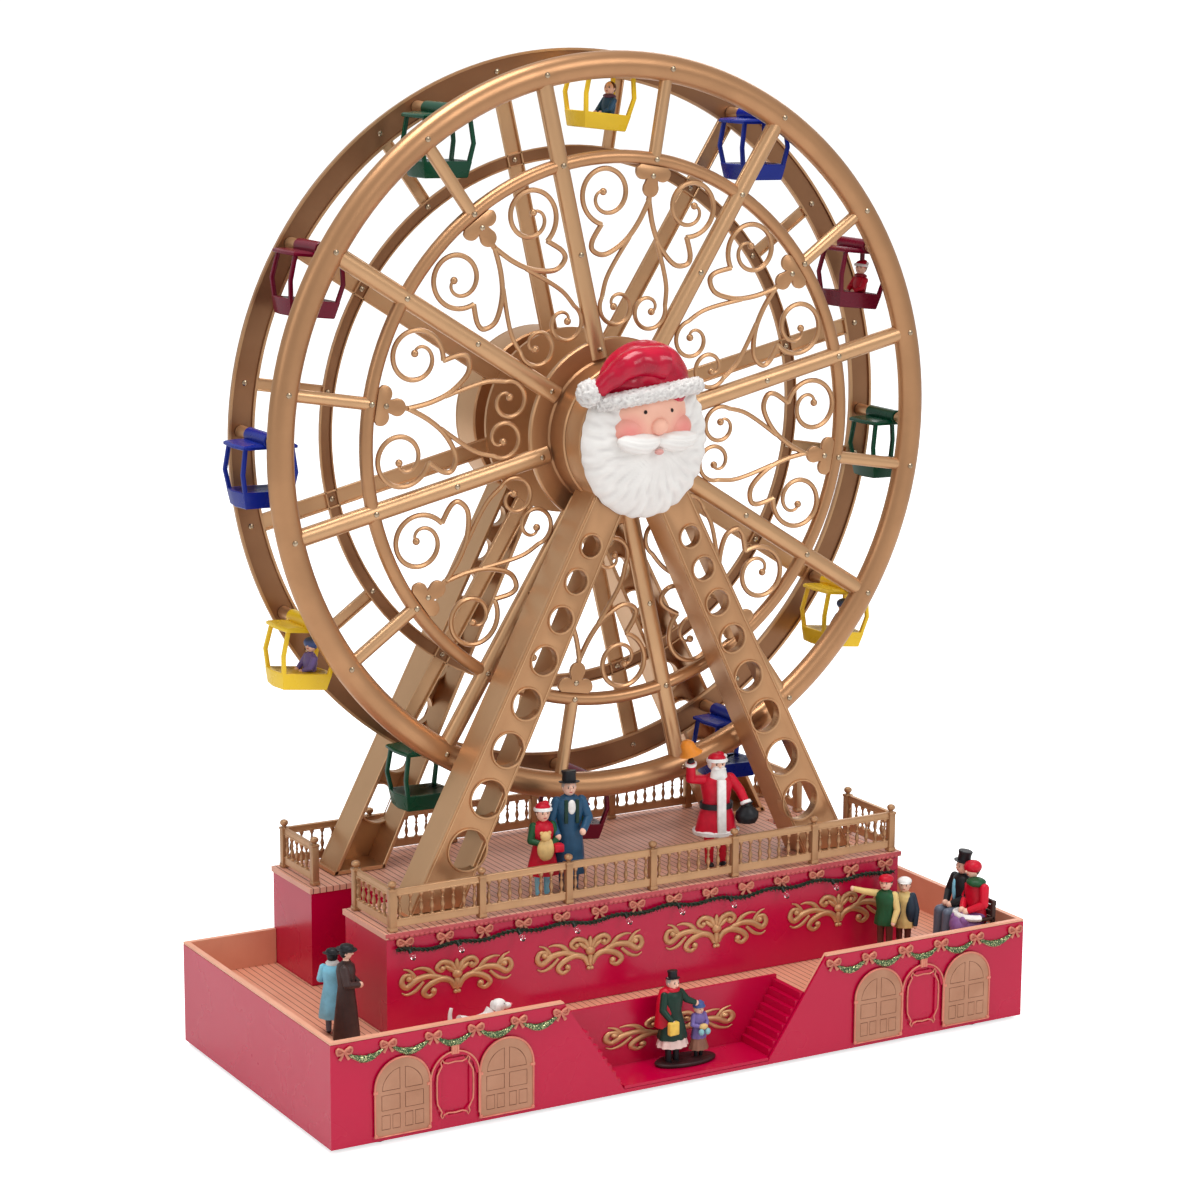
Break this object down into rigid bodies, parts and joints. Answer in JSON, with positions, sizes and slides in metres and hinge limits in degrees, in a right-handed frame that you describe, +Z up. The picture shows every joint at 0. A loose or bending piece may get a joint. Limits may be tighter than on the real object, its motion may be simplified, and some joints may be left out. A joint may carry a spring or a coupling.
{
  "type": "christmas village ferris wheel",
  "caption": "Village ferris wheel: twin ringed wheel frames with scroll panels and hanging gondolas turn on slanted legs over a railed deck and a terrace with figures.",
  "frame": {"origin": "on the ground under the middle of the base", "axes": "+Z up, front faces -Y, the wheel's axle runs along Y, +X to the right seen from the front"},
  "size_m": [0.441, 0.1976, 0.5549],
  "materials": {
    "red_plastic": "gloss",
    "tan_plastic": "satin",
    "deck_plastic": "satin",
    "black_plastic": "satin",
    "gold_plastic": "satin metallic paint",
    "board": "satin",
    "steel": "satin",
    "brass": "satin",
    "nylon": "satin",
    "painted_face": "painted resin",
    "painted_figure": "painted resin",
    "green_plastic": "gloss",
    "maroon_plastic": "gloss",
    "blue_plastic": "gloss",
    "yellow_plastic": "gloss"
  },
  "bodies": {
    "stand": {"base_tray": "red_plastic", "terrace_liner": "tan_plastic", "entrance_steps": "red_plastic", "bottom_plate": "black_plastic", "plinth_shell": "red_plastic", "deck_panel": "deck_plastic", "front_railing": "gold_plastic", "rear_railing": "gold_plastic", "power_jack": "black_plastic", "control_board": "board", "front_right_leg": "gold_plastic", "front_left_leg": "gold_plastic", "rear_right_leg": "gold_plastic", "rear_left_leg": "gold_plastic", "front_hub_drum": "gold_plastic", "front_bush": "brass", "motor_housing": "gold_plastic", "rear_bush": "brass", "motor_cover": "gold_plastic", "hub_face": "painted_face", "gear_motor": "steel", "deck_couple": "painted_figure", "bell_ringer": "painted_figure", "terrace_couple": "painted_figure", "dog": "painted_figure", "mother_and_child": "painted_figure", "two_boys": "painted_figure", "bench_couple": "painted_figure"},
    "wheel": {"front_wheel_frame": "gold_plastic", "rear_wheel_frame": "gold_plastic", "axle": "steel", "drive_gear": "nylon", "scroll_panel_1": "gold_plastic", "scroll_panel_2": "gold_plastic", "scroll_panel_3": "gold_plastic", "scroll_panel_4": "gold_plastic", "scroll_panel_5": "gold_plastic", "scroll_panel_6": "gold_plastic", "scroll_panel_7": "gold_plastic", "scroll_panel_8": "gold_plastic"},
    "pinion": {"motor_pinion": "nylon"},
    "switch": {"switch_knob": "black_plastic"},
    "car_01": {"gondola_01": "green_plastic"},
    "car_02": {"gondola_02": "maroon_plastic", "passenger_02": "painted_figure"},
    "car_03": {"gondola_03": "blue_plastic"},
    "car_04": {"gondola_04": "yellow_plastic", "passenger_04": "painted_figure"},
    "car_05": {"gondola_05": "green_plastic"},
    "car_06": {"gondola_06": "maroon_plastic", "passenger_06": "painted_figure"},
    "car_07": {"gondola_07": "blue_plastic"},
    "car_08": {"gondola_08": "yellow_plastic", "passenger_08": "painted_figure"},
    "car_09": {"gondola_09": "green_plastic"},
    "car_10": {"gondola_10": "maroon_plastic", "passenger_10": "painted_figure"},
    "car_11": {"gondola_11": "blue_plastic"},
    "car_12": {"gondola_12": "yellow_plastic", "passenger_12": "painted_figure"}
  },
  "joints": [
    {"name": "wheel_turn", "type": "hinge", "parent": "stand", "child": "wheel", "pos_m": [0, 0.0249, 0.3475], "axis": [0, 1, 0], "continuous": true},
    {"name": "pinion_turn", "type": "hinge", "parent": "stand", "child": "pinion", "pos_m": [0, 0.0755, 0.3799], "axis": [0, 1, 0], "continuous": true},
    {"name": "switch_slide", "type": "slide", "parent": "stand", "child": "switch", "axis": [1, 0, 0], "range_m": [0, 0.004]},
    {"name": "car_01_swing", "type": "hinge", "parent": "wheel", "child": "car_01", "pos_m": [0.19987, 0.0249, 0.34038], "axis": [0, 1, 0], "continuous": true},
    {"name": "car_02_swing", "type": "hinge", "parent": "wheel", "child": "car_02", "pos_m": [0.17666, 0.0249, 0.44127], "axis": [0, 1, 0], "continuous": true},
    {"name": "car_03_swing", "type": "hinge", "parent": "wheel", "child": "car_03", "pos_m": [0.10611, 0.0249, 0.51704], "axis": [0, 1, 0], "continuous": true},
    {"name": "car_04_swing", "type": "hinge", "parent": "wheel", "child": "car_04", "pos_m": [0.00712, 0.0249, 0.54737], "axis": [0, 1, 0], "continuous": true},
    {"name": "car_05_swing", "type": "hinge", "parent": "wheel", "child": "car_05", "pos_m": [-0.09377, 0.0249, 0.52416], "axis": [0, 1, 0], "continuous": true},
    {"name": "car_06_swing", "type": "hinge", "parent": "wheel", "child": "car_06", "pos_m": [-0.16954, 0.0249, 0.4536], "axis": [0, 1, 0], "continuous": true},
    {"name": "car_07_swing", "type": "hinge", "parent": "wheel", "child": "car_07", "pos_m": [-0.19987, 0.0249, 0.35462], "axis": [0, 1, 0], "continuous": true},
    {"name": "car_08_swing", "type": "hinge", "parent": "wheel", "child": "car_08", "pos_m": [-0.17666, 0.0249, 0.25373], "axis": [0, 1, 0], "continuous": true},
    {"name": "car_09_swing", "type": "hinge", "parent": "wheel", "child": "car_09", "pos_m": [-0.10611, 0.0249, 0.17796], "axis": [0, 1, 0], "continuous": true},
    {"name": "car_10_swing", "type": "hinge", "parent": "wheel", "child": "car_10", "pos_m": [-0.00712, 0.0249, 0.14763], "axis": [0, 1, 0], "continuous": true},
    {"name": "car_11_swing", "type": "hinge", "parent": "wheel", "child": "car_11", "pos_m": [0.09377, 0.0249, 0.17084], "axis": [0, 1, 0], "continuous": true},
    {"name": "car_12_swing", "type": "hinge", "parent": "wheel", "child": "car_12", "pos_m": [0.16954, 0.0249, 0.24139], "axis": [0, 1, 0], "continuous": true}
  ],
  "couplings": [
    {"joint": "pinion_turn", "follows": "wheel_turn", "ratio": -3},
    {"joint": "car_01_swing", "follows": "wheel_turn", "ratio": -1},
    {"joint": "car_02_swing", "follows": "wheel_turn", "ratio": -1},
    {"joint": "car_03_swing", "follows": "wheel_turn", "ratio": -1},
    {"joint": "car_04_swing", "follows": "wheel_turn", "ratio": -1},
    {"joint": "car_05_swing", "follows": "wheel_turn", "ratio": -1},
    {"joint": "car_06_swing", "follows": "wheel_turn", "ratio": -1},
    {"joint": "car_07_swing", "follows": "wheel_turn", "ratio": -1},
    {"joint": "car_08_swing", "follows": "wheel_turn", "ratio": -1},
    {"joint": "car_09_swing", "follows": "wheel_turn", "ratio": -1},
    {"joint": "car_10_swing", "follows": "wheel_turn", "ratio": -1},
    {"joint": "car_11_swing", "follows": "wheel_turn", "ratio": -1},
    {"joint": "car_12_swing", "follows": "wheel_turn", "ratio": -1}
  ]
}
